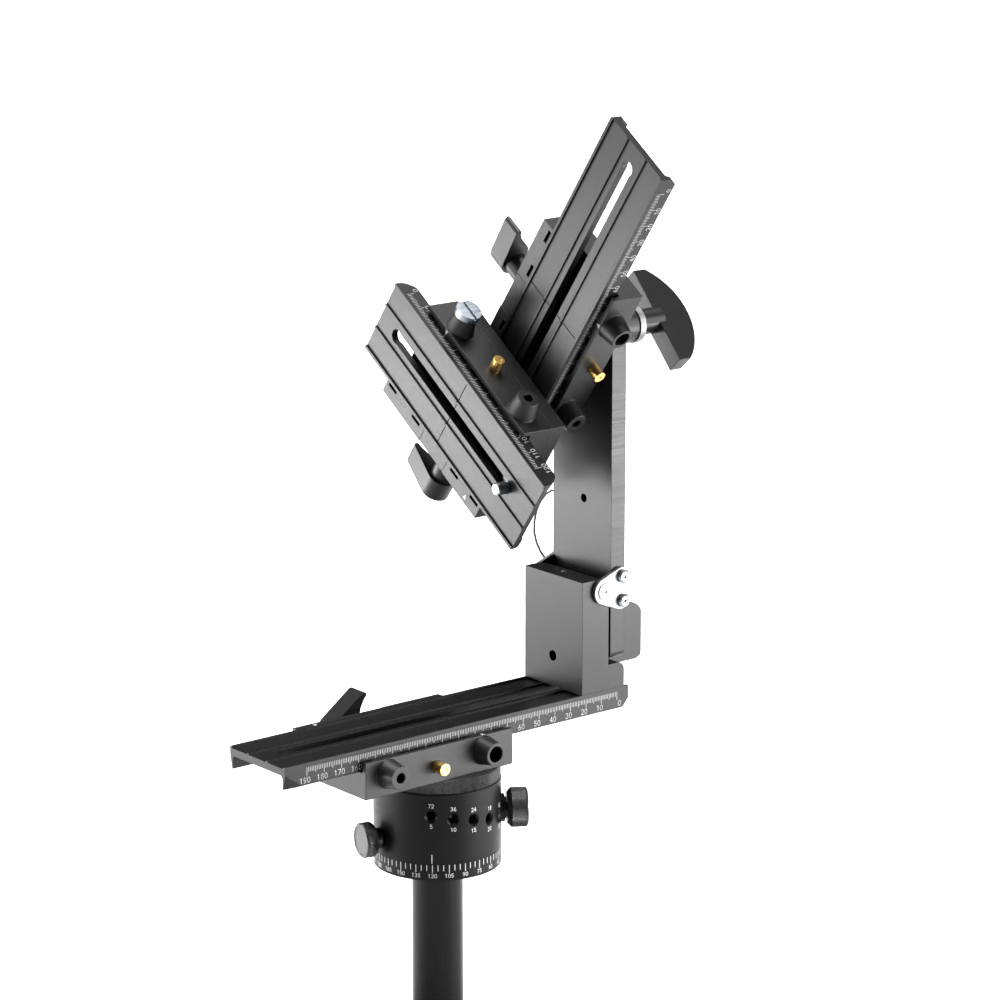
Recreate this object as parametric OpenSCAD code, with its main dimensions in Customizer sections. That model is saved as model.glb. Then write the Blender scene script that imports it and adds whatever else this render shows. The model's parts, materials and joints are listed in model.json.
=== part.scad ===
// Panoramic camera head with three sliding plates, on the top of a round column.
// Millimetres, +Z up. The origin is on the pan axis, where the column meets the degree dial.

/* [Column] */
// Outside radius of the column
column_r = 12.5; // [8:0.1:14]
// Length of the column below the head
column_len = 80; // [40:1:300]

/* [Pan unit] */
// Radius of the dial and the housing
pan_r = 31.2; // [28:0.1:36]
// Height of the degree dial
dial_h = 8.1; // [6:0.1:10]
// Height of the housing's top edge
housing_top = 43; // [40:0.5:48]
// Height of the knurled disc's top, where the lower bracket stands
pan_top = 50.2; // [46:0.1:56]

/* [Plates] */
// Width of every sliding plate
plate_w = 44; // [40:0.5:50]
// Height of every sliding plate, from lips to leg ends
plate_h = 11; // [9:0.5:11]
// Length of the lower plate and of the upright plate
long_plate = 210; // [180:1:240]
// Length of the plate that carries the camera
camera_plate = 140; // [110:1:160]
// Width of the slot along each plate
slot_w = 6.4; // [6.4:0.1:7]

/* [Brackets] */
// Height from a bracket's foot to the top of its plate
bracket_h = 24; // [24:0.5:26]
// Length of a bracket along its plate
bracket_len = 89; // [80:1:100]

/* [Arm] */
// Height of the tilt axis
tilt_z = 250.7; // [240:0.1:270]
// Height of the fold axis
fold_z = 125.5; // [115:0.5:135]
// Width of the arm and of the block under it
arm_w = 44; // [40:1:50]

/* [Pose] */
// Tilt of the upright plate as stored, in degrees
phi = 35.2; // [0:0.1:60]
// Stored angle of the lower clamp lever, in degrees
lower_lever_angle = 36; // [0:1:60]
// Stored angle of the tilt clamp lever, in degrees
tilt_lever_angle = 3; // [-20:1:60]
// Stored angle of the camera clamp lever, in degrees
camera_lever_angle = -11; // [-20:1:60]

/* [Hidden] */
$fn = 64;
fit = 0.05;
gap = 0.1;
// sides and lips of a plate
half_w = plate_w / 2;
lip = 1.6;
recess = 0.9;
web = 4.5;
leg = 2.2;
rib_y = 7.6;
rib_w = 1.3;
// places of the frames
plate_z = pan_top + bracket_h;
spacer_h = 8;
upright_x = 62.2;
step_out = bracket_h + spacer_h;
cross_at = 45.2;
// offsets of each plate and bracket along its own ruler
lower_plate_end = 103.5;
lower_bracket_x = -20.5;
upright_plate_end = 123.5;
tilt_bracket_x = 3;
camera_plate_end = 69.4;
camera_bracket_x = 2;
camera_screw_x = -50;
camera_thread = 3.1;
screw_foot = 0.6;
// bracket casting, measured from its own middle
bracket_end = 46.5;
bracket_floor = plate_h + gap;
bracket_front = 26;
bracket_back = 32;
bracket_lip = 6;
back_lip = 2.5;
wall_in = half_w + 1.6;
tab_half = 8;
back_tab = 14;
jaw_half = 11;
jaw_back = 31.5;
jaw_low = 22.2;
boss_x = 28.75;
boss_n = 13.5;
boss_front = 35.3;
boss_foot_r = 7.2;
boss_mouth_r = 5.5;
boss_depth = 12.3;
big_thread = 3.97;
small_thread = 2.56;
catch_n = 16;
catch_r = 2.9;
catch_front = 32.5;
hub_n = 17.6;
hub_r = 7.6;
neck_r = 6;
neck_near = 33.2;
lever_near = 48.5;
lever_w = 11;
pin_r = 3;
screw_x = 11;
foot_screw = 2;
cross_y = 11;
cross_r = 2.5;
cross_bite = 3;
stud_r = 4.76;
disc_screw_r = 1.6;
disc_screw_at = 21;
block_screw_x = 86.4;
block_screw_y = 13;
lower_reach = 3.6;
tilt_reach = 4;
camera_reach = 6;
// pan unit
rim_h = 3;
spindle_r = 10;
cavity_r = 26;
row_z = 25.5;
plunger_angle = -33;
pan_knob_angle = 168;
pan_knob_z = 16;
hole_step = 19.8;
first_hole = -133.6;
hole_top = 32.5;
hole_drop = 1.8;
index_holes = 24;
knob_r = 8.65;
plunger_knob_r = 9.8;
bush_seat = 30.3;
// block, arm and hinge
block_x = 73.4;
block_w = 16.9;
block_top = 131.5;
ledge_x = 100.6;
ledge_top = 87;
arm_x = 91.5;
arm_t = 8.9;
arm_low = 89.6;
arm_corner = 3;
fold_x = 86.2;
fold_r = 4.25;
clear_r = 5.1;
cheek = 2;
hinge_screws = [[97.1, 131.7], [97.4, 119.3]];
wing_z = 102;
wing_reach = 27.5;
tilt_disc_r = 21;
bolt_r = 4;
flange_x = 121;
collar_x = 124.7;
wing_x = 136;
wing_lean = -42;
wing_half = 26.4;
lanyard_r = 0.6;
lanyard = [[96, 22.4, 164], [95.8, 24.5, 165.4], [95, 27.5, 165.4], [93.6, 30.5, 163], [92.2, 33, 159],
    [91, 34.6, 154], [90.2, 35.2, 148.5], [90, 35, 143], [90.6, 34, 138], [92, 32.4, 133.2],
    [94, 30.4, 129], [96, 28.5, 125.6], [97.3, 27.4, 122.6], [97.6, 27.1, 120.6]];

// ---- frames: x runs to the plate's zero mark, y away from its ruler, z out of its face

module on_lower() {
    translate([0, 0, plate_z]) children();
}

module on_upright() {
    translate([upright_x, 0, tilt_z]) rotate([phi, 0, 0]) rotate([0, -90, 0]) children();
}

module on_camera() {
    translate([upright_x - step_out, cross_at * sin(phi), tilt_z - cross_at * cos(phi)])
        rotate([phi - 90, 0, 0]) rotate([0, -90, 0]) children();
}

module radial(angle, z) {
    rotate([0, 0, angle]) translate([0, 0, z]) rotate([0, 90, 0]) children();
}

// ---- shared shapes

module box(x0, x1, y0, y1, z0, z1) {
    translate([x0, y0, z0]) cube([x1 - x0, y1 - y0, z1 - z0]);
}

module along_y(x, z, r, y0, y1) {
    translate([x, y0, z]) rotate([-90, 0, 0]) cylinder(r = r, h = y1 - y0);
}

module along_x(y, z, r, x0, x1) {
    translate([x0, y, z]) rotate([0, 90, 0]) cylinder(r = r, h = x1 - x0);
}

// both circles in the plane, with the band between their outer tangents
module link(a, ra, b, rb) {
    d = norm(b - a);
    dir = atan2(b[1] - a[1], b[0] - a[0]);
    lean = acos((ra - rb) / d);
    translate(a) circle(r = ra);
    translate(b) circle(r = rb);
    polygon([a + ra * [cos(dir + lean), sin(dir + lean)], a + ra * [cos(dir - lean), sin(dir - lean)],
        b + rb * [cos(dir - lean), sin(dir - lean)], b + rb * [cos(dir + lean), sin(dir + lean)]]);
}

// half of a plate's section, lip to leg, as (y, z) points
half_section = [[half_w, -plate_h + 0.6], [half_w, 0], [half_w - lip, 0], [half_w - lip, -recess],
    [rib_y + rib_w / 2, -recess], [rib_y + rib_w / 2, -gap], [rib_y - rib_w / 2, -gap],
    [rib_y - rib_w / 2, -recess], [0, -recess], [0, -web], [half_w - leg - 1.2, -web],
    [half_w - leg, -web - 1.2], [half_w - leg, -plate_h], [half_w - 0.6, -plate_h]];

module plate_blank(x0, x1) {
    other_half = [for (i = [len(half_section) - 1 : -1 : 0]) [-half_section[i][0], half_section[i][1]]];
    top = [for (i = [0 : 7]) half_section[i]];
    under = [for (i = [10 : 13]) half_section[i]];
    left_under = [for (i = [0 : 3]) other_half[i]];
    left_top = [for (i = [6 : 13]) other_half[i]];
    translate([x0, 0, 0]) rotate([90, 0, 90]) linear_extrude(x1 - x0)
        polygon(concat(top, left_top, left_under, under));
}

module slot(x0, x1, key_r) {
    translate([x0 + slot_w / 2, 0, -web - 1]) cylinder(d = slot_w, h = web + 2);
    box(x0 + slot_w / 2, x1, -slot_w / 2, slot_w / 2, -web - 1, 1);
    translate([x1, 0, -web - 1]) cylinder(r = key_r, h = web + 2);
}

// slanting facet across the low outer corner of a leg, at the end away from zero
module leg_facet(x0) {
    for (side = [0, 1]) mirror([0, side, 0])
        translate([x0, -half_w, -4]) rotate([11.2, 0, -7.6]) translate([-30, -10, -20]) cube([60, 10, 40]);
}

// round corner cut from both legs at a plate end; out is 1 at the zero end and -1 at the other
module leg_round(x_end, out, r) {
    translate([x_end, 0, 0]) rotate([90, 0, 0]) linear_extrude(plate_w + 2, center = true)
        difference() {
            translate([out > 0 ? -r : -1, -plate_h - 1]) square([r + 1, r + 0.5]);
            translate([-out * r, -plate_h + r - 0.4]) circle(r = r);
        }
}

module leg_nick(x_end) {
    translate([x_end, 0, 0]) rotate([90, 0, 0]) linear_extrude(plate_w + 2, center = true)
        polygon([[-4, -plate_h - 0.1], [0.1, -plate_h + 4.6], [0.1, -plate_h - 0.1]]);
}

module long_plate_body(x_end) {
    x0 = x_end - long_plate;
    difference() {
        plate_blank(x0, x_end);
        slot(x0 + 12.5, x_end - 12.6, 3.7);
        leg_facet(x0);
        leg_nick(x_end);
        box(x_end - 104.2, x_end - 103.8, -half_w + lip, half_w - lip, -recess - 0.25, 0.5);
    }
}

// one long wall of a bracket, with tabs that reach the plate; wall is -1 at the ruler and 1 at the lever
module bracket_wall(wall, out, top) {
    x0 = bracket_end - bracket_len;
    ruler_tabs = [[-boss_x - tab_half, tab_half - boss_x], [boss_x - tab_half, boss_x + tab_half]];
    lever_tabs = [[x0, -back_tab], [back_tab, bracket_end]];
    mirror([0, wall < 0 ? 1 : 0, 0]) {
        box(x0, bracket_end, wall_in, out, -bracket_h, -top);
        for (tab = wall < 0 ? ruler_tabs : lever_tabs)
            box(tab[0], tab[1], half_w + fit, wall_in + 0.4, -bracket_floor - 1, -top);
    }
}

// slots at both ends of each lever-side tab
module tab_slots() {
    x0 = bracket_end - bracket_len;
    for (x = [x0 + 2, -back_tab - 8, back_tab + 1, bracket_end - 9])
        box(x, x + 7, wall_in + 0.6, wall_in + 2.6, -back_lip - 4, 0);
}

// bracket casting around a plate, from its own middle; foot is the middle of its foot screws
module bracket(foot) {
    x0 = bracket_end - bracket_len;
    difference() {
        union() {
            box(x0, bracket_end, -bracket_front, bracket_back, -bracket_h, -bracket_floor);
            bracket_wall(-1, bracket_front, bracket_lip);
            bracket_wall(1, bracket_back, back_lip);
            for (side = [-1, 1]) translate([side * boss_x, -bracket_front, -boss_n]) rotate([90, 0, 0])
                cylinder(r1 = boss_foot_r, r2 = boss_mouth_r, h = boss_front - bracket_front);
        }
        tab_slots();
        box(-jaw_half - gap, jaw_half + gap, 14, bracket_back + 1, -jaw_low - gap, 0);
        along_y(boss_x, -boss_n, big_thread, -boss_front - 1, boss_depth - boss_front);
        along_y(-boss_x, -boss_n, small_thread, -boss_front - 1, boss_depth - boss_front);
        along_y(0, -catch_n, catch_r + fit, -bracket_front - 1, -14);
        along_y(0, -hub_n, pin_r, 3, 15);
        at_foot(foot) translate([0, 0, -bracket_h - 1]) cylinder(r = foot_screw, h = bracket_h);
        at_foot(foot) translate([0, 0, -bracket_floor - 4]) cylinder(r = 4, h = 6);
    }
}

module at_foot(middle) {
    for (x = [-screw_x, screw_x]) translate([middle + x, 0, 0]) children();
}

module bracket_screws(foot, reach) {
    at_foot(foot) difference() {
        union() {
            translate([0, 0, -bracket_h - reach]) cylinder(r = foot_screw, h = bracket_h + reach - 15);
            translate([0, 0, -bracket_floor - 4]) cylinder(r = 3.7, h = 3.2);
        }
        translate([0, 0, -bracket_floor - 2.6]) cylinder(r = 1.7, h = 3, $fn = 6);
    }
}

module lever_pin() {
    along_y(0, -hub_n, pin_r, 3, lever_near + lever_w - 1);
    difference() {
        along_y(0, -hub_n, 4.6, lever_near + lever_w - 2.4, lever_near + lever_w - 0.2);
        translate([0, lever_near + lever_w - 1.6, -hub_n]) rotate([-90, 0, 0])
            cylinder(r = 1.8, h = 3, $fn = 6);
    }
}

module jaw() {
    difference() {
        union() {
            box(-jaw_half, jaw_half, half_w + fit, jaw_back, -jaw_low, -back_lip);
            box(-jaw_half, jaw_half, 16, half_w + 1, -jaw_low, -bracket_floor - 0.2);
        }
        along_y(0, -hub_n, pin_r + fit, 0, jaw_back + 1);
    }
}

// clamp lever seen along its axis: a flat top that runs straight off the hub, thinner toward the tip
paddle = [[0, hub_r], [20.4, hub_r], [21.8, hub_r - 0.7], [22.2, hub_r - 1.9], [21.4, hub_r - 2.9],
    [19, hub_r - 3.5], [15.5, hub_r - 5.3], [12, hub_r - 8.3], [9, hub_r - 12.2], [5, -5.6], [0, 0]];

module lever(angle) {
    difference() {
        translate([0, lever_near + lever_w, -hub_n]) rotate([90, 0, 0]) rotate([0, 0, angle]) union() {
            cylinder(r = neck_r, h = lever_near + lever_w - neck_near);
            cylinder(r = hub_r, h = lever_w);
            linear_extrude(lever_w) polygon(paddle);
        }
        along_y(0, -hub_n, pin_r + fit, 0, lever_near + lever_w + 1);
        along_y(0, -hub_n, 4.9, lever_near + lever_w - 2.6, lever_near + lever_w + 1);
    }
}

module catch_button() {
    difference() {
        along_y(0, -catch_n, catch_r, -catch_front, -17.5);
        along_y(0, -catch_n, 1.2, -catch_front - 1, -catch_front + 0.3);
    }
}

module knob(r, h, bevel) {
    cylinder(r1 = r - bevel, r2 = r, h = bevel);
    translate([0, 0, bevel]) cylinder(r = r, h = h - 1.6 * bevel);
    translate([0, 0, h - 0.6 * bevel]) cylinder(r1 = r, r2 = r - 0.6 * bevel, h = 0.6 * bevel);
}

// ---- column and fixed base

module column() {
    color("black") difference() {
        translate([0, 0, -column_len]) cylinder(r = column_r, h = column_len - rim_h);
        translate([0, 0, -column_len - 1]) cylinder(r = column_r - 1.6, h = column_len - 9);
        cylinder(r = stud_r, h = 40, center = true);
    }
}

module column_stud() {
    color("silver") translate([0, 0, -9]) cylinder(r = stud_r, h = 22);
}

module column_rim() {
    color("silver") difference() {
        translate([0, 0, -rim_h]) cylinder(r = column_r, h = rim_h);
        translate([0, 0, -rim_h - 1]) cylinder(r = stud_r, h = rim_h + 2);
    }
}

module column_plug() {
    color("black") translate([0, 0, -column_len]) union() {
        cylinder(r = column_r - 1.6, h = 8);
        translate([0, 0, -2]) cylinder(r = column_r, h = 2);
    }
}

module dial() {
    color("dimgray") difference() {
        cylinder(r = pan_r, h = dial_h);
        translate([0, 0, 4]) cylinder(r = cavity_r, h = dial_h);
        translate([0, 0, -1]) cylinder(r = spindle_r, h = dial_h);
    }
}

module spindle() {
    color("silver") difference() {
        union() {
            cylinder(r = spindle_r, h = housing_top + 2.7);
            translate([0, 0, 4]) cylinder(r = 16, h = 2);
        }
        translate([0, 0, -1]) cylinder(r = stud_r, h = 15);
    }
}

module spindle_nut() {
    color("silver") translate([0, 0, housing_top + 0.3]) difference() {
        cylinder(r = 12.5, h = 2.4);
        translate([0, 0, -1]) cylinder(r = spindle_r, h = 5);
    }
}

module index_plate() {
    color("silver") difference() {
        translate([0, 0, row_z - 5]) cylinder(r = 24.6, h = 10);
        translate([0, 0, row_z - 6]) cylinder(r = spindle_r, h = 12);
        for (k = [0 : index_holes - 1]) radial(plunger_angle + k * 360 / index_holes, row_z)
            translate([0, 0, 20]) cylinder(r = 2.4, h = 6, $fn = 24);
    }
}

// ---- pan housing and what turns with it

module pan_housing() {
    color("dimgray") difference() {
        translate([0, 0, dial_h + 0.15]) cylinder(r = pan_r, h = housing_top - dial_h - 0.15);
        translate([0, 0, dial_h - 1]) cylinder(r = cavity_r, h = housing_top - dial_h - 4);
        cylinder(r = spindle_r + fit, h = housing_top + 1);
        for (k = [0 : 9]) radial(first_hole + k * hole_step, hole_top - k * hole_drop)
            if (k != 5) {
                translate([0, 0, cavity_r - 4]) cylinder(r = 2.2, h = 12, $fn = 24);
                translate([0, 0, pan_r - 1.1]) cylinder(r1 = 2.2, r2 = 3.8, h = 1.6, $fn = 32);
            }
        radial(plunger_angle, row_z) translate([0, 0, cavity_r - 4]) cylinder(r = 4.2, h = 12);
        radial(plunger_angle, row_z) translate([0, 0, bush_seat]) cylinder(r = 7.1, h = 4);
        radial(pan_knob_angle, pan_knob_z) translate([0, 0, cavity_r - 4]) cylinder(r = 2.6, h = 12);
        at_disc_screws();
    }
}

module knurled_disc() {
    color("black") difference() {
        translate([0, 0, housing_top]) cylinder(r = pan_r - 0.2, h = pan_top - housing_top);
        translate([0, 0, housing_top - 1]) cylinder(r = 13.4, h = 4.2);
        at_disc_screws();
        at_foot(0) translate([0, 0, pan_top - lower_reach]) cylinder(r = foot_screw, h = 6);
    }
}

module at_disc_screws() {
    for (k = [0 : 3]) rotate([0, 0, 45 + 90 * k]) translate([disc_screw_at, 0, housing_top - 4.4])
        cylinder(r = disc_screw_r, h = 9);
}

module disc_screws() {
    color("silver") at_disc_screws();
}

module plunger_bush() {
    color("silver") radial(plunger_angle, row_z) difference() {
        union() {
            translate([0, 0, cavity_r + 0.2]) cylinder(r = 4.2, h = pan_r - cavity_r);
            translate([0, 0, bush_seat]) cylinder(r = 7, h = 2.4);
            translate([0, 0, bush_seat + 2]) cylinder(r = 5.4, h = 1.2);
        }
        translate([0, 0, cavity_r - 1]) cylinder(r = 2.05, h = 20);
    }
}

module index_plunger() {
    color("black") radial(plunger_angle, row_z) union() {
        translate([0, 0, 21.5]) cylinder(r = 2, h = 14);
        translate([0, 0, 33.8]) knob(plunger_knob_r, 10.2, 2.2);
    }
}

module pan_knob() {
    color("black") radial(pan_knob_angle, pan_knob_z) union() {
        translate([0, 0, spindle_r + 0.4]) cylinder(r = 2.55, h = 24);
        translate([0, 0, pan_r + 0.3]) cylinder(r = 5.2, h = 4);
        translate([0, 0, pan_r + 3.6]) knob(knob_r, 6.4, 1);
    }
}

module lower_bracket() {
    color("dimgray") on_lower() translate([lower_bracket_x, 0, 0]) bracket(-lower_bracket_x);
}

module lower_bracket_screws() {
    color("silver") on_lower() translate([lower_bracket_x, 0, 0])
        bracket_screws(-lower_bracket_x, lower_reach);
}

module lower_lever_pin() {
    color("silver") on_lower() translate([lower_bracket_x, 0, 0]) lever_pin();
}

module lower_lever() {
    color("black") on_lower() translate([lower_bracket_x, 0, 0]) lever(lower_lever_angle);
}

module lower_jaw() {
    color("dimgray") on_lower() translate([lower_bracket_x, 0, 0]) jaw();
}

module lower_catch() {
    color("gold") on_lower() translate([lower_bracket_x, 0, 0]) catch_button();
}

// ---- lower plate, block and hinge

module lower_plate() {
    color("dimgray") difference() {
        on_lower() long_plate_body(lower_plate_end);
        at_block_screws() cylinder(r = 2, h = 20, center = true);
    }
}

module at_block_screws() {
    for (y = [-block_screw_y, block_screw_y]) translate([block_screw_x, y, plate_z]) children();
}

module block() {
    color("dimgray") difference() {
        union() {
            box(block_x, block_x + block_w, -arm_w / 2, arm_w / 2, plate_z, block_top);
            box(block_x + block_w - 1, ledge_x - 4, -arm_w / 2, arm_w / 2, plate_z, ledge_top);
            box(block_x + block_w - 1, ledge_x, -arm_w / 2, arm_w / 2, plate_z, ledge_top - 4);
            along_y(ledge_x - 4, ledge_top - 4, 4, -arm_w / 2, arm_w / 2);
        }
        difference() {
            box(fold_x - 2.6, block_x + block_w + 1, -arm_w, arm_w, fold_z, block_top + 1);
            along_y(fold_x, fold_z, clear_r, -arm_w - 1, arm_w + 1);
        }
        along_y(fold_x, fold_z, fold_r - 1, -arm_w, arm_w);
        along_x(0.4, 89.8, 2.7, block_x - 1, block_x + 5);
        along_x(0, wing_z, 4.6, block_x + 10.5, block_x + block_w + 1);
        translate([block_x + 8, 2, block_top - 6]) cylinder(r = 1, h = 7);
        translate([block_x + 8, 2, block_top - 1.2]) cylinder(r = 2, h = 2);
        at_block_screws() cylinder(r = 2, h = 16, center = true);
    }
}

module block_screws() {
    color("silver") at_block_screws() difference() {
        union() {
            translate([0, 0, -web - 3.4]) cylinder(r = 4.2, h = 3.4);
            translate([0, 0, -web - 1]) cylinder(r = 2, h = web + 8);
        }
        translate([0, 0, -web - 4]) cylinder(r = 1.8, h = 2.4, $fn = 6);
    }
}

module block_cap_screw() {
    color("silver") translate([block_x + 8, 2, block_top - 1.2]) union() {
        cylinder(r1 = 1.9, r2 = 1.5, h = 1.1);
        translate([0, 0, -4.3]) cylinder(r = 1, h = 5);
    }
}

module fold_pin() {
    color("silver") union() {
        along_y(fold_x, fold_z, fold_r - 1, -arm_w / 2 - 1, arm_w / 2 + 1);
        for (side = [0, 1]) mirror([0, side, 0]) difference() {
            along_y(fold_x, fold_z, fold_r, -arm_w / 2 - cheek - 0.5, -arm_w / 2 - 0.05);
            along_y(fold_x, fold_z, 0.8, -arm_w / 2 - cheek - 1, -arm_w / 2 - cheek);
        }
    }
}

module arm() {
    color("dimgray") difference() {
        union() {
            along_x(0, tilt_z, arm_w / 2, arm_x, arm_x + arm_t);
            box(arm_x, arm_x + arm_t, -arm_w / 2, arm_w / 2, arm_low + arm_corner, tilt_z);
            box(arm_x, arm_x + arm_t, arm_corner - arm_w / 2, arm_w / 2 - arm_corner, arm_low, arm_low + 8);
            for (side = [-1, 1]) translate([0, side * (arm_w / 2 - arm_corner), 0])
                along_x(0, arm_low + arm_corner, arm_corner, arm_x, arm_x + arm_t);
        }
        along_x(0, tilt_z, bolt_r + fit, arm_x - 1, arm_x + arm_t + 1);
        along_x(-1.3, 167.6, 2.1, arm_x - 1, arm_x + 6);
        along_x(0, wing_z, 3.05, arm_x - 1, arm_x + arm_t + 1);
        for (s = hinge_screws) along_y(s[0], s[1], 1.6, -arm_w, arm_w);
        along_y(96, 164, 1, arm_w / 2 - 6, arm_w);
    }
}

module cheek_outline() {
    a = [fold_x, fold_z];
    difference() {
        union() {
            link(a, 6.5, hinge_screws[0] - [0.4, 0], 4.4);
            link(a, 6.5, hinge_screws[1] - [0.7, 0], 4.4);
            link(hinge_screws[0] - [0.4, 0], 4.4, hinge_screws[1] - [0.7, 0], 4.4);
        }
        translate(a) circle(r = fold_r + fit);
        for (s = hinge_screws) translate(s) circle(r = 1.6);
        translate([arm_x + arm_t, fold_z - 30]) square([10, 60]);
    }
}

module hinge_cheek_front() {
    color("silver") translate([0, -arm_w / 2 - fit, 0]) rotate([90, 0, 0])
        linear_extrude(cheek) cheek_outline();
}

module hinge_cheek_back() {
    color("silver") translate([0, arm_w / 2 + cheek + fit, 0]) rotate([90, 0, 0])
        linear_extrude(cheek) cheek_outline();
}

module hinge_screws() {
    y = arm_w / 2 + cheek + 0.05;
    color("silver") for (s = hinge_screws, side = [0, 1]) mirror([0, side, 0]) translate([s[0], -y, s[1]])
        rotate([90, 0, 0]) difference() {
            union() {
                cylinder(r = 3.35, h = 1.5);
                translate([0, 0, 1.5]) cylinder(r1 = 3.35, r2 = 2.4, h = 0.8);
                translate([0, 0, -9]) cylinder(r = 1.6, h = 10);
            }
            for (turn = [20, 110]) rotate([0, 0, turn]) translate([0, 0, 2])
                cube([3.4, 0.8, 1.6], center = true);
        }
}

// rings of a tube along a route: each ring stands square to the way between its neighbours
function way(p, i) = let (a = p[max(i - 1, 0)], b = p[min(i + 1, len(p) - 1)]) (b - a) / norm(b - a);
function ring(p, i, r, sides) = let (
        t = way(p, i),
        u = cross(t, [1, 0, 0]) / norm(cross(t, [1, 0, 0])),
        v = cross(t, u))
    [for (k = [0 : sides - 1]) p[i] + r * (cos(360 * k / sides) * u + sin(360 * k / sides) * v)];

module tube(p, r, sides) {
    n = len(p);
    points = [for (i = [0 : n - 1]) each ring(p, i, r, sides)];
    walls = [for (i = [0 : n - 2], k = [0 : sides - 1])
        let (a = i * sides + k, b = i * sides + (k + 1) % sides) [a, b, b + sides, a + sides]];
    start = [for (k = [sides - 1 : -1 : 0]) k];
    end = [for (k = [0 : sides - 1]) (n - 1) * sides + k];
    polyhedron(points, concat(walls, [start, end]));
}

module lanyard() {
    color("black") tube(lanyard, lanyard_r, 8);
}

module arm_wing() {
    x0 = arm_x + arm_t + gap;
    x1 = x0 + wing_reach;
    color("black") union() {
        along_x(0, wing_z, 3, block_x + block_w - 3, x0 + 1);
        along_x(0, wing_z, 7, x0, x0 + 7);
        difference() {
            box(x0 + 4.6, x1, -4.2, 4.2, wing_z - 22, wing_z + 8);
            translate([x1, 0, wing_z + 8]) rotate([90, 0, 0]) linear_extrude(20, center = true)
                difference() {
                    translate([-9, -9]) square(10);
                    translate([-9, -9]) circle(r = 9);
                }
            translate([x1, 0, wing_z - 22]) rotate([90, 0, 0]) linear_extrude(20, center = true)
                polygon([[-6, -1], [1, -1], [1, 6], [-1, 1.6]]);
            for (side = [-1, 1]) translate([x1, side * 4.2, wing_z - 8]) rotate([0, 0, 45])
                cube([1.2, 1.2, 60], center = true);
        }
    }
}

// ---- tilt joint

module tilt_bush() {
    x0 = arm_x + arm_t;
    color("black") difference() {
        along_x(0, tilt_z, 8.8, x0, flange_x);
        along_x(0, tilt_z, bolt_r + fit, x0 - 1, flange_x + 1);
    }
}

module tilt_flange() {
    color("silver") difference() {
        along_x(0, tilt_z, 9.5, flange_x, flange_x + 3.4);
        along_x(0, tilt_z, bolt_r + fit, flange_x - 1, flange_x + 5);
    }
}

module tilt_disc() {
    color("black") difference() {
        along_x(0, tilt_z, tilt_disc_r, upright_x + bracket_h, arm_x - gap);
        along_x(0, tilt_z, bolt_r, upright_x, arm_x);
        on_upright() at_foot(0) translate([0, 0, -bracket_h - tilt_reach]) cylinder(r = foot_screw, h = 6);
    }
}

module tilt_bolt() {
    color("silver") along_x(0, tilt_z, bolt_r, upright_x + bracket_h, wing_x + 6);
}

module tilt_wing() {
    color("black") difference() {
        union() {
            along_x(0, tilt_z, 6.4, collar_x, wing_x + 4);
            translate([0, 0, tilt_z]) rotate([wing_lean, 0, 0]) intersection() {
                box(wing_x, wing_x + 20, -5, 5, -wing_half, wing_half);
                translate([wing_x - 13.6, 0, 0]) rotate([90, 0, 0]) cylinder(r = 33.6, h = 20, center = true);
            }
        }
        along_x(0, tilt_z, bolt_r + fit, collar_x - 1, wing_x + 6.2);
    }
}

module tilt_bracket() {
    color("dimgray") on_upright() translate([tilt_bracket_x, 0, 0]) bracket(-tilt_bracket_x);
}

module tilt_bracket_screws() {
    color("silver") on_upright() translate([tilt_bracket_x, 0, 0])
        bracket_screws(-tilt_bracket_x, tilt_reach);
}

module tilt_lever_pin() {
    color("silver") on_upright() translate([tilt_bracket_x, 0, 0]) lever_pin();
}

module tilt_lever() {
    color("black") on_upright() translate([tilt_bracket_x, 0, 0]) lever(tilt_lever_angle);
}

module tilt_jaw() {
    color("dimgray") on_upright() translate([tilt_bracket_x, 0, 0]) jaw();
}

module tilt_catch() {
    color("gold") on_upright() translate([tilt_bracket_x, 0, 0]) catch_button();
}

// ---- upright plate and the bracket crossed on it

module upright_plate() {
    color("dimgray") on_upright() long_plate_body(upright_plate_end);
}

module spacer() {
    x0 = bracket_end - bracket_len;
    color("dimgray") on_camera() translate([camera_bracket_x, 0, -bracket_h - spacer_h]) difference() {
        box(x0, bracket_end - 8, -bracket_front, bracket_back - 3, 0, spacer_h);
        at_cross() cylinder(r = cross_r, h = 40, center = true);
        at_foot(-camera_bracket_x) translate([0, 0, spacer_h - camera_reach])
            cylinder(r = foot_screw, h = 20);
    }
}

// places of the two screws that hold the crossed bracket, from its own middle
module at_cross() {
    for (y = [-cross_y, cross_y]) translate([-camera_bracket_x, y, 0]) children();
}

// screws from inside the upright plate's slot into the crossed bracket
module cross_screws() {
    color("silver") on_camera() translate([camera_bracket_x, 0, -step_out]) at_cross() difference() {
        union() {
            translate([0, 0, -web - 3.6]) cylinder(r = 4.6, h = 3.6);
            translate([0, 0, -web - 1]) cylinder(r = cross_r, h = web + 1 + spacer_h + cross_bite - 0.2);
        }
        translate([0, 0, -web - 4]) cylinder(r = 2, h = 2.4, $fn = 6);
    }
}

module camera_bracket() {
    color("dimgray") on_camera() translate([camera_bracket_x, 0, 0]) difference() {
        bracket(-camera_bracket_x);
        at_cross() translate([0, 0, -bracket_h - 1]) cylinder(r = cross_r, h = cross_bite + 1);
    }
}

module camera_bracket_screws() {
    color("silver") on_camera() translate([camera_bracket_x, 0, 0])
        bracket_screws(-camera_bracket_x, camera_reach);
}

module camera_lever_pin() {
    color("silver") on_camera() translate([camera_bracket_x, 0, 0]) lever_pin();
}

module camera_lever() {
    color("black") on_camera() translate([camera_bracket_x, 0, 0]) lever(camera_lever_angle);
}

module camera_jaw() {
    color("dimgray") on_camera() translate([camera_bracket_x, 0, 0]) jaw();
}

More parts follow.
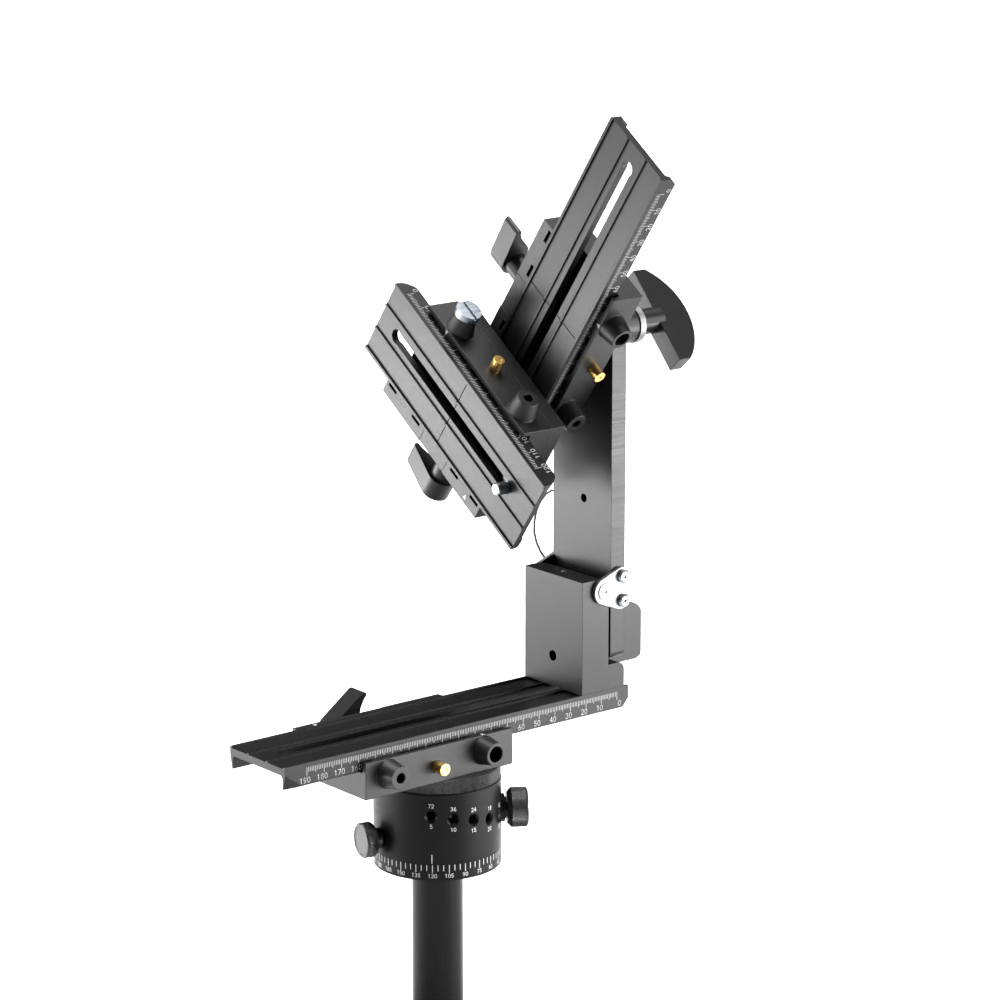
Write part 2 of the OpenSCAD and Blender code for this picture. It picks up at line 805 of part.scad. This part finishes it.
module camera_catch() {
    color("gold") on_camera() translate([camera_bracket_x, 0, 0]) catch_button();
}

// spare camera screw kept in a boss, with a slotted head
module stored_screw() {
    color("silver") on_camera() translate([camera_bracket_x + boss_x, -boss_front, -boss_n])
        rotate([90, 0, 0]) difference() {
            union() {
                translate([0, 0, gap]) cylinder(r = 6.5, h = 3.4);
                translate([0, 0, -12]) cylinder(r = 3.9, h = 13);
            }
            translate([0, 0, 3.4]) cube([14, 1.5, 2.2], center = true);
        }
}

// ---- camera plate

module camera_plate() {
    x0 = camera_plate_end - camera_plate;
    color("dimgray") on_camera() difference() {
        plate_blank(x0, camera_plate_end);
        slot(camera_screw_x - slot_w / 2, camera_plate_end - 15.2, 3.7);
        leg_round(camera_plate_end, 1, 10);
        leg_round(x0, -1, 10);
        box(0.4, 0.8, -half_w + lip, half_w - lip, -recess - 0.25, 0.5);
    }
}

module camera_washer() {
    color("silver") on_camera() translate([camera_screw_x, 0, -web - 1.4]) difference() {
        cylinder(r = 7.5, h = 1.3);
        translate([0, 0, -1]) cylinder(r = 3.15, h = 4);
    }
}

module camera_screw() {
    color("silver") on_camera() translate([camera_screw_x, 0, 0]) difference() {
        union() {
            translate([0, 0, -web - 5.4]) cylinder(r = 6.5, h = 3.8);
            translate([0, 0, -web - 2]) cylinder(r = 2.7, h = web + 3);
            translate([0, 0, -screw_foot]) cylinder(r = camera_thread, h = screw_foot + 5.2);
            translate([0, 0, 5.2]) cylinder(r1 = camera_thread, r2 = 2.5, h = 0.6);
        }
        translate([0, 0, -web - 5.4]) cube([14, 1.4, 2.4], center = true);
    }
}

column();
column_rim();
column_plug();
column_stud();
dial();
spindle();
spindle_nut();
index_plate();
pan_housing();
knurled_disc();
disc_screws();
plunger_bush();
index_plunger();
pan_knob();
lower_bracket();
lower_bracket_screws();
lower_lever_pin();
lower_lever();
lower_jaw();
lower_catch();
lower_plate();
block();
block_screws();
block_cap_screw();
fold_pin();
arm();
hinge_cheek_front();
hinge_cheek_back();
hinge_screws();
lanyard();
arm_wing();
tilt_bush();
tilt_flange();
tilt_disc();
tilt_bolt();
tilt_wing();
tilt_bracket();
tilt_bracket_screws();
tilt_lever_pin();
tilt_lever();
tilt_jaw();
tilt_catch();
upright_plate();
spacer();
cross_screws();
camera_bracket();
camera_bracket_screws();
camera_lever_pin();
camera_lever();
camera_jaw();
camera_catch();
stored_screw();
camera_plate();
camera_washer();
camera_screw();
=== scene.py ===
"""Looks of the panoramic camera head: materials, printed marks, knurling, camera and light."""

import json
import math

import bpy
from mathutils import Matrix, Vector


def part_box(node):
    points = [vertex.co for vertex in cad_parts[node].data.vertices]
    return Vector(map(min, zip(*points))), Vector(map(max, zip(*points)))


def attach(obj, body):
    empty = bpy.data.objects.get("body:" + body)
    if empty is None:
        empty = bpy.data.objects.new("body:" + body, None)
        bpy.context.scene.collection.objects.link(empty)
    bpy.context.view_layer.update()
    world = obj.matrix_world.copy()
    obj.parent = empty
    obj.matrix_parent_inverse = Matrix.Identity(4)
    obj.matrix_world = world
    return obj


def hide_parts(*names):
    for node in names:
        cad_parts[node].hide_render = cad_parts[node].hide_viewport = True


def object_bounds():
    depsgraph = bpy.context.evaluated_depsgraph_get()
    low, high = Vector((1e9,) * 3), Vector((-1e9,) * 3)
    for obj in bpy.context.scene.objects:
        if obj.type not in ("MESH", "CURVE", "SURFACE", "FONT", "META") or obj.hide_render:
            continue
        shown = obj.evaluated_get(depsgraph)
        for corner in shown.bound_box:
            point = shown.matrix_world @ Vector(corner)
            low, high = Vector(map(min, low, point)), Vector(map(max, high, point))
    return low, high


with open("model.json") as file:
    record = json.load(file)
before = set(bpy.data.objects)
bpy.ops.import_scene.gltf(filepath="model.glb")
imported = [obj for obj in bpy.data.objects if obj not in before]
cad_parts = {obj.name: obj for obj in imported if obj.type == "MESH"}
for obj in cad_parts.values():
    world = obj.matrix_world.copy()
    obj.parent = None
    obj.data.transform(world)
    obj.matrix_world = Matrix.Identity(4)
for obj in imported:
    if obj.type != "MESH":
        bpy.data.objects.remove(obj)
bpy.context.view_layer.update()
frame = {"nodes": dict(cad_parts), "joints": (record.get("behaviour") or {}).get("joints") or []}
MM = 0.001
NODES = frame["nodes"]
JOINTS = {j["name"]: j for j in frame["joints"]}

# ---- camera: at the photograph's viewing angle

CAMERA_AT = Vector((-1.0672, -1.3597, 0.6129))
CAMERA_TURN = math.radians(39.14)
CAMERA_DOWN = math.radians(14.04)


def add_camera():
    data = bpy.data.cameras.new("camera")
    data.sensor_width = 36
    data.lens = 134.6
    data.clip_end = 50
    camera = bpy.data.objects.new("camera", data)
    level = math.cos(CAMERA_DOWN)
    look = Vector((math.sin(CAMERA_TURN) * level, math.cos(CAMERA_TURN) * level, -math.sin(CAMERA_DOWN)))
    camera.location = CAMERA_AT
    camera.rotation_euler = look.to_track_quat("-Z", "Y").to_euler()
    bpy.context.collection.objects.link(camera)
    bpy.context.scene.camera = camera


add_camera()

# ---- material kit


class Paint:
    """One node material, with short calls for the nodes that the materials below share."""

    def __init__(self, name, colour, metal, rough, coat=0.0, specular=0.5):
        self.material = bpy.data.materials.new(name)
        self.material.use_nodes = True
        self.tree = self.material.node_tree
        self.shader = self.tree.nodes["Principled BSDF"]
        self.shader.inputs["Base Color"].default_value = (*colour, 1)
        self.shader.inputs["Metallic"].default_value = metal
        self.shader.inputs["Roughness"].default_value = rough
        self.shader.inputs["Coat Weight"].default_value = coat
        self.shader.inputs["Specular IOR Level"].default_value = specular
        self.material.diffuse_color = (*colour, 1)
        self.place = self.add("ShaderNodeTexCoord").outputs["Object"]
        self.normal = None

    def add(self, kind, **values):
        node = self.tree.nodes.new(kind)
        for key, value in values.items():
            setattr(node, key, value)
        return node

    def join(self, a, b):
        self.tree.links.new(a, b)

    def stretched(self, scale, turn=(0, 0, 0)):
        node = self.add("ShaderNodeMapping")
        node.inputs["Rotation"].default_value = turn
        node.inputs["Scale"].default_value = scale
        self.join(self.place, node.inputs["Vector"])
        return node.outputs["Vector"]

    def noise(self, size_mm, detail=3.0, where=None):
        node = self.add("ShaderNodeTexNoise")
        node.inputs["Scale"].default_value = 1 / (size_mm * MM)
        node.inputs["Detail"].default_value = detail
        self.join(where or self.place, node.inputs["Vector"])
        return node.outputs["Fac"]

    def spread(self, source, low, high):
        node = self.add("ShaderNodeMapRange")
        node.inputs["From Min"].default_value = 0.3
        node.inputs["From Max"].default_value = 0.7
        node.inputs["To Min"].default_value = low
        node.inputs["To Max"].default_value = high
        self.join(source, node.inputs["Value"])
        return node.outputs["Result"]

    def vary_colour(self, source, dark, light):
        node = self.add("ShaderNodeValToRGB")
        node.color_ramp.elements[0].position = 0.35
        node.color_ramp.elements[1].position = 0.65
        node.color_ramp.elements[0].color = (*dark, 1)
        node.color_ramp.elements[1].color = (*light, 1)
        self.join(source, node.inputs["Fac"])
        self.join(node.outputs["Color"], self.shader.inputs["Base Color"])

    def vary_rough(self, source, low, high):
        self.join(self.spread(source, low, high), self.shader.inputs["Roughness"])

    def soften(self, radius_mm):
        node = self.add("ShaderNodeBevel", samples=4)
        node.inputs["Radius"].default_value = radius_mm * MM
        self.normal = node.outputs["Normal"]
        self.join(self.normal, self.shader.inputs["Normal"])

    def bump(self, source, height_mm, strength=1.0):
        node = self.add("ShaderNodeBump")
        node.inputs["Distance"].default_value = height_mm * MM
        node.inputs["Strength"].default_value = strength
        self.join(source, node.inputs["Height"])
        if self.normal:
            self.join(self.normal, node.inputs["Normal"])
        self.normal = node.outputs["Normal"]
        self.join(self.normal, self.shader.inputs["Normal"])


def shade(colour, factor):
    return tuple(c * factor for c in colour)


def anodised(name, grain_turn, colour=(0.003, 0.003, 0.0032)):
    """Black anodised extrusion: die lines along its length and a faint cloudiness."""
    paint = Paint(name, colour, 0.0, 0.4, specular=0.17)
    lines = paint.noise(1.0, 4, paint.stretched((0.02, 1.6, 1.6), grain_turn))
    clouds = paint.noise(22, 2)
    paint.vary_colour(clouds, shade(colour, 0.88), shade(colour, 1.14))
    paint.vary_rough(lines, 0.3, 0.44)
    paint.soften(0.4)
    paint.bump(lines, 0.02)
    paint.bump(paint.noise(0.5, 2), 0.02, 0.5)
    return paint.material


def turned(name, colour=(0.002, 0.002, 0.0021)):
    """Black anodised turned part: fine rings round the pan axis."""
    paint = Paint(name, colour, 0.0, 0.34, specular=0.09)
    rings = paint.noise(0.6, 2, paint.stretched((0.03, 0.03, 1)))
    paint.vary_colour(paint.noise(14, 2), shade(colour, 0.9), shade(colour, 1.12))
    paint.vary_rough(rings, 0.3, 0.42)
    paint.soften(0.25)
    paint.bump(rings, 0.01)
    return paint.material


def knurled(name, colour=(0.008, 0.008, 0.0084)):
    """Black anodised knurling, rubbed a little paler here and there."""
    paint = Paint(name, colour, 0.0, 0.3, specular=0.45)
    rub = paint.noise(3, 3)
    paint.vary_colour(rub, shade(colour, 0.7), shade(colour, 1.6))
    paint.vary_rough(rub, 0.24, 0.38)
    paint.bump(paint.noise(0.25, 2), 0.01, 0.5)
    return paint.material


def cast(name, colour=(0.003, 0.003, 0.0032)):
    """Powder paint on a casting: a fine pebbled skin with a soft shine."""
    paint = Paint(name, colour, 0.0, 0.44, specular=0.24)
    pebbles = paint.noise(0.55, 2)
    paint.vary_colour(paint.noise(9, 3), shade(colour, 0.85), shade(colour, 1.2))
    paint.vary_rough(pebbles, 0.36, 0.52)
    paint.soften(0.7)
    paint.bump(pebbles, 0.07, 0.8)
    return paint.material


def moulded(name, colour=(0.004, 0.004, 0.0042), rough=0.38):
    """Moulded plastic with spark-eroded texture."""
    paint = Paint(name, colour, 0.0, rough, specular=0.17)
    grain = paint.noise(0.35, 2)
    paint.vary_colour(paint.noise(7, 2), shade(colour, 0.9), shade(colour, 1.15))
    paint.vary_rough(grain, rough - 0.06, rough + 0.08)
    paint.soften(0.6)
    paint.bump(grain, 0.02, 0.5)
    return paint.material


def steel(name, colour=(0.62, 0.63, 0.64), rough=0.24, size_mm=1.2):
    """Plated or turned metal: fine machining lines and slight clouding."""
    paint = Paint(name, colour, 1.0, rough)
    lines = paint.noise(size_mm, 4, paint.stretched((0.15, 1, 1)))
    paint.vary_colour(paint.noise(4, 2), shade(colour, 0.86), shade(colour, 1.06))
    paint.vary_rough(lines, rough - 0.06, rough + 0.1)
    paint.soften(0.2)
    paint.bump(lines, 0.01)
    return paint.material


def enamel(name, colour=(0.0015, 0.0015, 0.0016)):
    """Satin black paint on a drawn tube."""
    paint = Paint(name, colour, 0.0, 0.26, specular=0.11)
    draw = paint.noise(2.5, 3, paint.stretched((1, 1, 0.03)))
    paint.vary_colour(paint.noise(30, 2), shade(colour, 0.85), shade(colour, 1.2))
    paint.vary_rough(draw, 0.2, 0.32)
    paint.bump(draw, 0.01)
    return paint.material


def ink(name, colour=(0.38, 0.38, 0.38)):
    """White paint filled into marks."""
    paint = Paint(name, colour, 0.0, 0.6)
    paint.vary_colour(paint.noise(0.4, 2), shade(colour, 0.82), colour)
    paint.vary_rough(paint.noise(0.8, 2), 0.5, 0.7)
    return paint.material


def rubber(name, colour=(0.018, 0.018, 0.018)):
    """Sheath of the tether."""
    paint = Paint(name, colour, 0.0, 0.55)
    rings = paint.noise(0.4, 1)
    paint.vary_colour(rings, shade(colour, 0.8), shade(colour, 1.5))
    paint.vary_rough(rings, 0.48, 0.62)
    paint.bump(rings, 0.03)
    return paint.material


# ---- meshes


def add_piece(name, verts, faces, material, body, smooth=False):
    mesh = bpy.data.meshes.new(name)
    mesh.from_pydata([tuple(v) for v in verts], [], faces)
    mesh.validate()
    mesh.materials.append(material)
    for polygon in mesh.polygons:
        polygon.use_smooth = smooth
    piece = bpy.data.objects.new(name, mesh)
    bpy.context.collection.objects.link(piece)
    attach(piece, body)
    return piece


def wear(material, *names):
    for name in names:
        slots = NODES[name].data.materials
        for i in range(len(slots)):
            slots[i] = material
        if not len(slots):
            slots.append(material)


class Marks:
    """Flat white marks gathered into one mesh. lay(u, v) places a point of the drawing on the surface."""

    def __init__(self):
        self.verts = []
        self.faces = []

    def shape(self, points, lay):
        start = len(self.verts)
        self.verts += [lay(u, v) for u, v in points]
        self.faces.append(tuple(range(start, start + len(points))))

    def bar(self, u0, u1, v0, v1, lay):
        self.shape([(u0, v0), (u1, v0), (u1, v1), (u0, v1)], lay)

    def stroke(self, a, b, width, lay):
        along = Vector((b[0] - a[0], b[1] - a[1]))
        if along.length == 0:
            return
        along.normalize()
        side = Vector((-along.y, along.x)) * width / 2
        end = along * width * 0.3
        corners = [(a[0] - end.x + side.x, a[1] - end.y + side.y), (a[0] - end.x - side.x, a[1] - end.y - side.y),
                   (b[0] + end.x - side.x, b[1] + end.y - side.y), (b[0] + end.x + side.x, b[1] + end.y + side.y)]
        self.shape(corners, lay)


def arc(cx, cy, rx, ry, start, end, steps=6):
    turn = [math.radians(start + (end - start) * i / steps) for i in range(steps + 1)]
    return [(cx + rx * math.cos(t), cy + ry * math.sin(t)) for t in turn]


# each figure is drawn in a box 0.6 wide and 1 high, as lines from point to point
FIGURES = {
    "0": [arc(0.3, 0.5, 0.27, 0.46, 0, 360, 14)],
    "1": [[(0.12, 0.78), (0.33, 0.96), (0.33, 0.04)]],
    "2": [arc(0.3, 0.7, 0.25, 0.26, 170, -40) + [(0.05, 0.04), (0.56, 0.04)]],
    "3": [arc(0.28, 0.73, 0.24, 0.23, 150, -90) + arc(0.28, 0.27, 0.27, 0.25, 90, -150)],
    "4": [[(0.44, 0.04), (0.44, 0.96), (0.05, 0.3), (0.58, 0.3)]],
    "5": [[(0.52, 0.96), (0.12, 0.96), (0.09, 0.56)] + arc(0.28, 0.33, 0.26, 0.29, 120, -150)],
    "6": [arc(0.3, 0.3, 0.25, 0.26, 0, 360, 12), [(0.05, 0.32), (0.14, 0.68), (0.42, 0.96)]],
    "7": [[(0.05, 0.96), (0.55, 0.96), (0.22, 0.04)]],
    "8": [arc(0.3, 0.73, 0.21, 0.22, 0, 360, 10), arc(0.3, 0.27, 0.25, 0.25, 0, 360, 12)],
    "9": [arc(0.3, 0.7, 0.25, 0.26, 0, 360, 12), [(0.55, 0.68), (0.46, 0.32), (0.18, 0.04)]],
}


def number(marks, text, u, v, height, lay, weight=0.12):
    """Writes a number with its middle at (u, v)."""
    step = 0.78 * height
    left = u - (len(text) * step - 0.18 * height) / 2
    for i, figure in enumerate(text):
        for line in FIGURES[figure]:
            points = [(left + i * step + x * height, v + (y - 0.5) * height) for x, y in line]
            for a, b in zip(points, points[1:]):
                marks.stroke(a, b, weight * height, lay)


# ---- rulers on the plates

PRINT = 0.02


def corners_along(node, x, y, n):
    """Lowest and highest reach of a CAD node along three directions, in mm."""
    spans = []
    for way in (x, y, n):
        reach = [way.dot(v.co) / MM for v in NODES[node].data.vertices]
        spans.append((min(reach), max(reach)))
    return spans


class PlateSide:
    """The ruled side of one sliding plate, found from its mesh and the way that it slides."""

    def __init__(self, node, joint):
        self.x = Vector(JOINTS[joint]["axis"])
        self.n = Vector((0, 0, 1)) if self.x.x > 0.5 else Vector((-1, 0, 0))
        self.y = self.n.cross(self.x)
        along, across, up = corners_along(node, self.x, self.y, self.n)
        self.end = along[1]
        self.side = across[0] - PRINT
        self.top = up[1]

    def lay(self, x, n):
        return (self.x * x + self.y * self.side + self.n * (self.top + n)) * MM

    def rule(self, name, body, zero, last, paint):
        marks = Marks()
        for value in range(last + 1):
            x = self.end - zero - value
            low = -6.4 if value % 10 == 0 else -5.3 if value % 5 == 0 else -4.5
            marks.bar(x - 0.09, x + 0.09, low, -2.2, self.lay)
            if value % 10 == 0:
                number(marks, str(value), x - 1.2 if value else x + 1.8, -8.3, 2.8, self.lay, 0.09)
        return add_piece(name, marks.verts, marks.faces, paint, body)


# ---- knurled parts


class Axis:
    """Cylinder coordinates about a line: place(r, turn, h) gives a point in metres."""

    def __init__(self, at, way):
        self.at = Vector(at)
        self.way = Vector(way).normalized()
        side = Vector((0, 0, 1)) if abs(self.way.z) < 0.9 else Vector((1, 0, 0))
        self.u = side.cross(self.way).normalized()
        self.v = self.way.cross(self.u)

    def place(self, r, turn, h):
        return self.at + (self.u * math.cos(turn) * r + self.v * math.sin(turn) * r + self.way * h) * MM


def diamond(turn, h, radius, pitch):
    """Depth from 0 to 1 of a diamond knurl at a place on a cylinder."""
    a = (turn * radius + h) / pitch % 1
    b = (turn * radius - h) / pitch % 1
    return 1 - min(1, 2 * min(a, 1 - a, b, 1 - b) * 1.6)


def lathe(name, profile, axis, body, material, band=None, pitch=1.1, depth=0.3, around=96):
    """A closed turned shape. profile is (radius, height) from the axis out and back.

    band is the knurled height span."""
    radius = max(r for r, h in profile)
    if band:
        cells = round(2 * math.pi * radius / pitch)
        pitch = 2 * math.pi * radius / cells
        around = cells * 4
    rows = []
    for (r0, h0), (r1, h1) in zip(profile, profile[1:]):
        inside = band and r0 == r1 and min(h0, h1) >= band[0] - 1e-6 and max(h0, h1) <= band[1] + 1e-6
        steps = max(1, round(abs(h1 - h0) / (pitch / 4))) if inside else 1
        for i in range(steps):
            rows.append((r0 + (r1 - r0) * i / steps, h0 + (h1 - h0) * i / steps, bool(inside)))
    rows.append((*profile[-1], False))
    verts = []
    for r, h, cut in rows:
        for k in range(around):
            turn = 2 * math.pi * k / around
            sink = depth * diamond(turn, h, radius, pitch) if cut else 0
            verts.append(axis.place(r - sink, turn, h))
    faces = []
    for j in range(len(rows) - 1):
        for k in range(around):
            a, b = j * around + k, j * around + (k + 1) % around
            faces.append((a, b, b + around, a + around))
    faces.append(tuple(range(around - 1, -1, -1)))
    last = (len(rows) - 1) * around
    faces.append(tuple(range(last, last + around)))
    piece = add_piece(name, verts, faces, material, body)
    return piece


# ---- surfaces of the carried-over nodes

tilt_turn = math.atan2(-JOINTS["upright_plate_slide"]["axis"][1], JOINTS["upright_plate_slide"]["axis"][2])
plate_black = anodised("anodised_along_x", (0, 0, 0))
upright_black = anodised("anodised_upright", (0, math.pi / 2, -tilt_turn))
camera_black = anodised("anodised_camera", (0, math.pi / 2, math.pi / 2 - tilt_turn))
arm_black = anodised("anodised_arm", (0, math.pi / 2, 0))
dial_black = turned("dial_black")
cast_black = cast("cast_black")
lever_black = moulded("lever_black")
cap_black = moulded("cap_black", (0.012, 0.012, 0.012), 0.5)
knurl_black = knurled("knurl_black")
zinc = steel("zinc_plate", (0.2, 0.22, 0.245), 0.3)
bright = steel("bright_steel", (0.45, 0.45, 0.46), 0.3)
satin = steel("satin_silver", (0.16, 0.16, 0.157), 0.5, 0.5)
brass = steel("brass_turned", (0.66, 0.42, 0.14), 0.3, 0.6)
white = ink("white_fill")

wear(enamel("column_paint"), "column")
wear(cap_black, "column_plug")
wear(bright, "column_rim", "column_stud", "spindle", "spindle_nut", "index_plate", "disc_screws", "tilt_bolt")
wear(bright, "lower_bracket_screws", "tilt_bracket_screws", "camera_bracket_screws", "cross_screws")
wear(bright, "block_screws", "block_cap_screw", "camera_washer")
wear(zinc, "hinge_screws", "stored_screw", "camera_screw")
wear(zinc, "lower_lever_pin", "tilt_lever_pin", "camera_lever_pin")
wear(satin, "hinge_cheek_front", "hinge_cheek_back", "fold_pin", "tilt_flange")
wear(dial_black, "dial", "pan_housing", "plunger_bush")
wear(knurl_black, "knurled_disc", "index_plunger", "pan_knob")
wear(cast_black, "lower_bracket", "tilt_bracket", "camera_bracket", "lower_jaw", "tilt_jaw", "camera_jaw")
wear(cast_black, "spacer", "tilt_bush")
wear(plate_black, "lower_plate")
wear(upright_black, "upright_plate")
wear(camera_black, "camera_plate")
wear(arm_black, "block", "arm", "tilt_disc")
wear(lever_black, "lower_lever", "tilt_lever", "camera_lever", "arm_wing", "tilt_wing")
wear(brass, "lower_catch", "tilt_catch", "camera_catch")
wear(rubber("cord_black"), "lanyard")

# ---- rulers

PlateSide("lower_plate", "lower_plate_slide").rule("lower_ruler", "lower_slide", 7.5, 190, white)
PlateSide("upright_plate", "upright_plate_slide").rule("upright_ruler", "upright_slide", 9.1, 190, white)
PlateSide("camera_plate", "camera_plate_slide").rule("camera_ruler", "camera_slide", 8.4, 120, white)

# ---- dial, index mark and hole numbers on the pan unit

dial_low, dial_high = (Vector(c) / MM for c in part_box("dial"))
DIAL_R = dial_high.x + PRINT
INDEX_AT = math.radians(-133)
DIAL_ZERO = math.radians(-12.6)


def on_drum(at):
    """Lays a drawing on the pan unit's round wall, with its left-to-right along the wall and v as height."""

    def lay(u, v):
        turn = at + u / DIAL_R
        return Vector((DIAL_R * math.cos(turn), DIAL_R * math.sin(turn), v)) * MM

    return lay


def add_dial_marks():
    marks = Marks()
    for value in range(0, 360, 5):
        lay = on_drum(DIAL_ZERO - math.radians(value))
        low = dial_high.z - (4.2 if value % 15 == 0 else 3.2)
        marks.bar(-0.17, 0.17, low, dial_high.z - 0.25, lay)
        if value % 15 == 0:
            number(marks, str(value), 0, 2.4, 2.0, lay)
    return add_piece("dial_marks", marks.verts, marks.faces, white, "column_base")


HOLE_STEP = math.radians(19.8)
FIRST_HOLE = math.radians(-133.6)
HOLE_COUNTS = (72, 36, 24, 18, 12, 10, 8, 6, 5, 4)


def add_housing_marks():
    marks = Marks()
    marks.bar(-0.2, 0.2, 8.5, 13.2, on_drum(INDEX_AT))
    for k, count in enumerate(HOLE_COUNTS):
        height = 32.5 - 1.8 * k
        lay = on_drum(FIRST_HOLE + k * HOLE_STEP)
        if k != 5:
            number(marks, str(count), 0, height + 5.2, 2.0, lay)
            number(marks, str(round(360 / count)), 0, height - 5.2, 2.0, lay)
    return add_piece("housing_marks", marks.verts, marks.faces, white, "pan_head")


add_dial_marks()
add_housing_marks()

# ---- white pointers on the bracket lips


# how far the ruler-side wall's top lies under the lever-side wall's, how far the bosses stand out of it,
# and how far in from the lever-side wall's outer face a pointer starts
RULER_WALL_DROP = 3.5
BOSS_STAND = 9.3
LEVER_WALL = 5.2


def add_pointer(name, bracket, plate, joint, body, offset, lever_side=False):
    side = PlateSide(plate, joint)
    along, across, up = corners_along(bracket, side.x, side.y, side.n)
    top = up[1] + PRINT - (0 if lever_side else RULER_WALL_DROP)
    edge = across[1] - LEVER_WALL if lever_side else across[0] + BOSS_STAND
    middle = (along[0] + along[1]) / 2 - 2 + offset

    def lay(u, v):
        return (side.x * u + side.y * v + side.n * top) * MM

    marks = Marks()
    base, tip = (edge + 3.2, edge + 0.5) if lever_side else (edge + 0.5, edge + 3.2)
    marks.shape([(middle - 1.1, base), (middle + 1.1, base), (middle, tip)], lay)
    return add_piece(name, marks.verts, marks.faces, white, body)


for row, plate, body in (
    ("lower", "lower_plate", "pan_head"),
    ("tilt", "upright_plate", "tilt_carrier"),
    ("camera", "camera_plate", "upright_slide"),
):
    add_pointer(row + "_pointer", row + "_bracket", plate, plate + "_slide", body, 29)
    add_pointer(row + "_lever_pointer", row + "_bracket", plate, plate + "_slide", body, -31, True)

# ---- knurled disc and knobs, in place of the plain turned nodes


def knob_profile(r, foot, base, top, bevel, neck):
    """Radius and height of a knob with a neck, a sloping back, a knurled rim and a dished face."""
    return [(0.4, foot), (neck, foot), (neck, base), (r - bevel, base), (r, base + bevel), (r, top - 0.6),
            (r - 0.6, top), (r - 1.6, top), (r - 1.9, top - 0.25), (0.4, top - 0.25)]


def add_knob(name, joint, body, node, r, base, top, bevel, neck, foot):
    way = Vector(JOINTS[joint]["axis"])
    low, high = (Vector(c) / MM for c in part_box(node))
    at = Vector((0, 0, (low.z + high.z) / 2)) * MM
    piece = lathe(name, knob_profile(r, foot, base, top, bevel, neck), Axis(at, way), body, knurl_black,
                  (base + bevel, top - 0.6), 1.15, 0.45)
    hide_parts(node)


add_knob("plunger_knurl", "index_plunger_pull", "index_plunger", "index_plunger", 9.8, 33.8, 44, 2.2, 2, 21.5)
add_knob("pan_knob_knurl", "pan_knob_turn", "pan_knob", "pan_knob", 8.65, 34.8, 41.2, 1, 5, 31.5)


def add_disc():
    low, high = (Vector(c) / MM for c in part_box("knurled_disc"))
    r = high.x
    profile = [(13.4, low.z), (r - 0.5, low.z), (r, low.z + 0.5), (r, high.z - 0.4), (r - 0.4, high.z),
               (13.4, high.z)]
    piece = lathe("disc_knurl", profile, Axis((0, 0, 0), (0, 0, 1)), "pan_head", knurl_black,
                  (low.z + 0.5, high.z - 0.4), 1.2, 0.45)
    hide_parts("knurled_disc")


add_disc()

# ---- floor and light


def add_floor():
    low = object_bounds()[0][2]
    paint = Paint("floor_paint", (0.6, 0.6, 0.6), 0.0, 0.7)
    paint.vary_rough(paint.noise(900, 2), 0.65, 0.75)
    mesh = bpy.data.meshes.new("floor")
    reach = 9
    mesh.from_pydata([(-reach, -reach, low), (reach, -reach, low), (reach, reach, low), (-reach, reach, low)], [],
                     [(0, 1, 2, 3)])
    mesh.materials.append(paint.material)
    floor = bpy.data.objects.new("floor", mesh)
    bpy.context.collection.objects.link(floor)


def add_light(name, at, aim, size, power, spread=180):
    data = bpy.data.lights.new(name, "AREA")
    data.shape = "RECTANGLE"
    data.size, data.size_y = size
    data.energy = power
    data.spread = math.radians(spread)
    light = bpy.data.objects.new(name, data)
    light.location = at
    light.rotation_euler = (Vector(aim) - Vector(at)).to_track_quat("-Z", "Y").to_euler()
    light.visible_camera = False
    bpy.context.collection.objects.link(light)


def add_world():
    world = bpy.data.worlds.new("world")
    bpy.context.scene.world = world
    world.use_nodes = True
    world.node_tree.nodes["Background"].inputs["Color"].default_value = (1, 1, 1, 1)
    world.node_tree.nodes["Background"].inputs["Strength"].default_value = 0.06


add_floor()
add_world()
MIDDLE = (0.03, 0, 0.2)
add_light("left", (-1.05, 1.2, 0.7), MIDDLE, (1.4, 0.9), 12, 100)
add_light("right", (1.05, -1.25, 0.7), MIDDLE, (1.2, 0.9), 13, 100)
add_light("left_strip", (-0.52, 0.6, 0.03), (0, 0, 0.03), (0.9, 0.2), 5, 100)
add_light("right_strip", (0.55, -0.6, 0.03), (0, 0, 0.03), (0.8, 0.2), 6.5, 100)
add_light("ceiling", (2.2, 2.7, 3.6), (2.2, 2.7, 0), (7, 7), 700, 80)
scene = bpy.context.scene
scene.view_settings.view_transform = "Standard"
